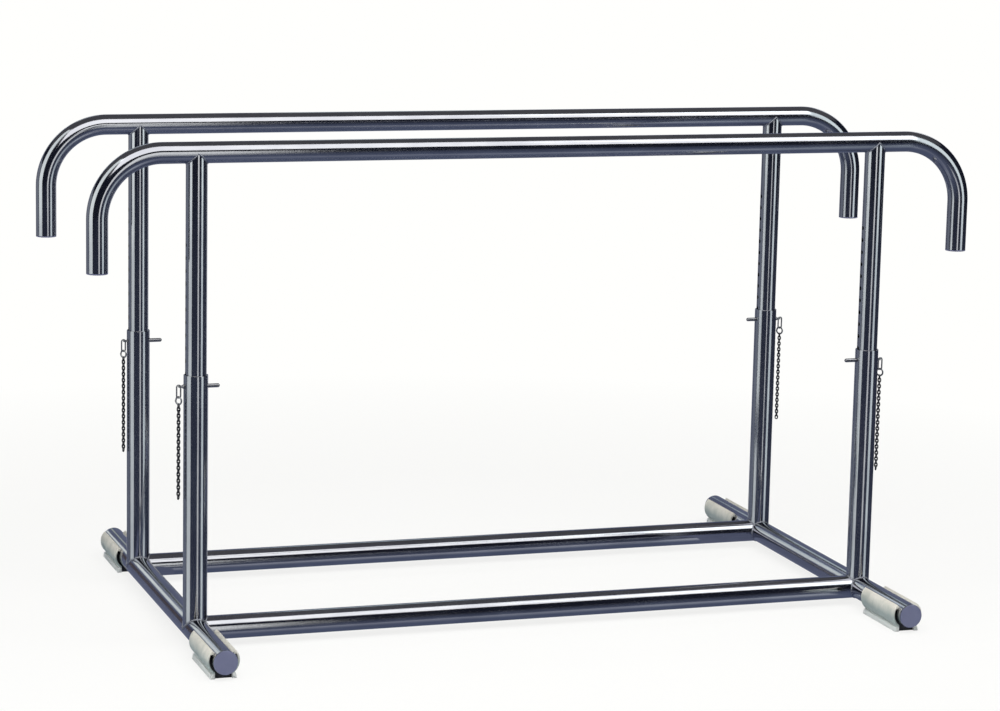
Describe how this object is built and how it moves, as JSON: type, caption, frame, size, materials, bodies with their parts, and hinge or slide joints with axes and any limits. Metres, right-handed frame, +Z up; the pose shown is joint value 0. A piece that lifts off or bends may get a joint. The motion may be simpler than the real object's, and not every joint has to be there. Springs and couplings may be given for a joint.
{
  "type": "rehab walking parallel bars",
  "caption": "Free-standing walking parallel bars: chromed tube floor frame on saddle feet, height-adjustable posts with chained locking pins, handrails bent down at their ends.",
  "frame": {"origin": "on the floor under the middle of the bars", "axes": "+X along the handrails, +Y across from the near handrail to the far one, +Z up"},
  "size_m": [1.8722, 1.06, 1.0051],
  "materials": {
    "tube_chrome": "polished chrome plate",
    "pin_steel": "bright zinc plate",
    "foot_plastic": "moulded cream plastic, slight sheen",
    "plug_plastic": "moulded grey plastic"
  },
  "bodies": {
    "base": {"base_cross_tube_left": "tube_chrome", "base_cross_tube_right": "tube_chrome", "base_long_rail_near": "tube_chrome", "base_long_rail_far": "tube_chrome", "outer_post_near_left": "tube_chrome", "outer_post_near_right": "tube_chrome", "outer_post_far_left": "tube_chrome", "outer_post_far_right": "tube_chrome", "foot_near_left": "foot_plastic", "foot_near_right": "foot_plastic", "foot_far_left": "foot_plastic", "foot_far_right": "foot_plastic", "cross_tube_plug_near_left": "plug_plastic", "cross_tube_plug_near_right": "plug_plastic", "cross_tube_plug_far_left": "plug_plastic", "cross_tube_plug_far_right": "plug_plastic"},
    "rail_near": {"handrail_near": "tube_chrome", "inner_post_near_left": "tube_chrome", "inner_post_near_right": "tube_chrome", "handrail_plug_near_left": "plug_plastic", "handrail_plug_near_right": "plug_plastic"},
    "rail_far": {"handrail_far": "tube_chrome", "inner_post_far_left": "tube_chrome", "inner_post_far_right": "tube_chrome", "handrail_plug_far_left": "plug_plastic", "handrail_plug_far_right": "plug_plastic"},
    "pin_near_left": {"locking_pin_near_left": "pin_steel"},
    "pin_near_right": {"locking_pin_near_right": "pin_steel"},
    "pin_far_left": {"locking_pin_far_left": "pin_steel"},
    "pin_far_right": {"locking_pin_far_right": "pin_steel"},
    "chain_near_left": {"pin_link_near_left": "pin_steel", "pin_ring_near_left": "pin_steel", "pin_chain_near_left": "pin_steel"},
    "chain_near_right": {"pin_link_near_right": "pin_steel", "pin_ring_near_right": "pin_steel", "pin_chain_near_right": "pin_steel"},
    "chain_far_left": {"pin_link_far_left": "pin_steel", "pin_ring_far_left": "pin_steel", "pin_chain_far_left": "pin_steel"},
    "chain_far_right": {"pin_link_far_right": "pin_steel", "pin_ring_far_right": "pin_steel", "pin_chain_far_right": "pin_steel"}
  },
  "joints": [
    {"name": "rail_near_height", "type": "slide", "parent": "base", "child": "rail_near", "axis": [0, 0, 1], "range_m": [-0.2794, 0.0254]},
    {"name": "rail_far_height", "type": "slide", "parent": "base", "child": "rail_far", "axis": [0, 0, 1], "range_m": [-0.2794, 0.0254]},
    {"name": "pin_near_left_pull", "type": "slide", "parent": "base", "child": "pin_near_left", "axis": [-1, 0, 0], "range_m": [0, 0.085]},
    {"name": "pin_near_right_pull", "type": "slide", "parent": "base", "child": "pin_near_right", "axis": [1, 0, 0], "range_m": [0, 0.085]},
    {"name": "pin_far_left_pull", "type": "slide", "parent": "base", "child": "pin_far_left", "axis": [-1, 0, 0], "range_m": [0, 0.085]},
    {"name": "pin_far_right_pull", "type": "slide", "parent": "base", "child": "pin_far_right", "axis": [1, 0, 0], "range_m": [0, 0.085]},
    {"name": "chain_near_left_swing", "type": "hinge", "parent": "pin_near_left", "child": "chain_near_left", "pos_m": [-0.7543, -0.268, 0.524], "axis": [0, 1, 0], "range_deg": [0, 90]},
    {"name": "chain_near_right_swing", "type": "hinge", "parent": "pin_near_right", "child": "chain_near_right", "pos_m": [0.7518, -0.268, 0.524], "axis": [0, -1, 0], "range_deg": [0, 90]},
    {"name": "chain_far_left_swing", "type": "hinge", "parent": "pin_far_left", "child": "chain_far_left", "pos_m": [-0.7518, 0.268, 0.524], "axis": [0, 1, 0], "range_deg": [0, 90]},
    {"name": "chain_far_right_swing", "type": "hinge", "parent": "pin_far_right", "child": "chain_far_right", "pos_m": [0.7558, 0.268, 0.524], "axis": [0, -1, 0], "range_deg": [0, 90]}
  ]
}
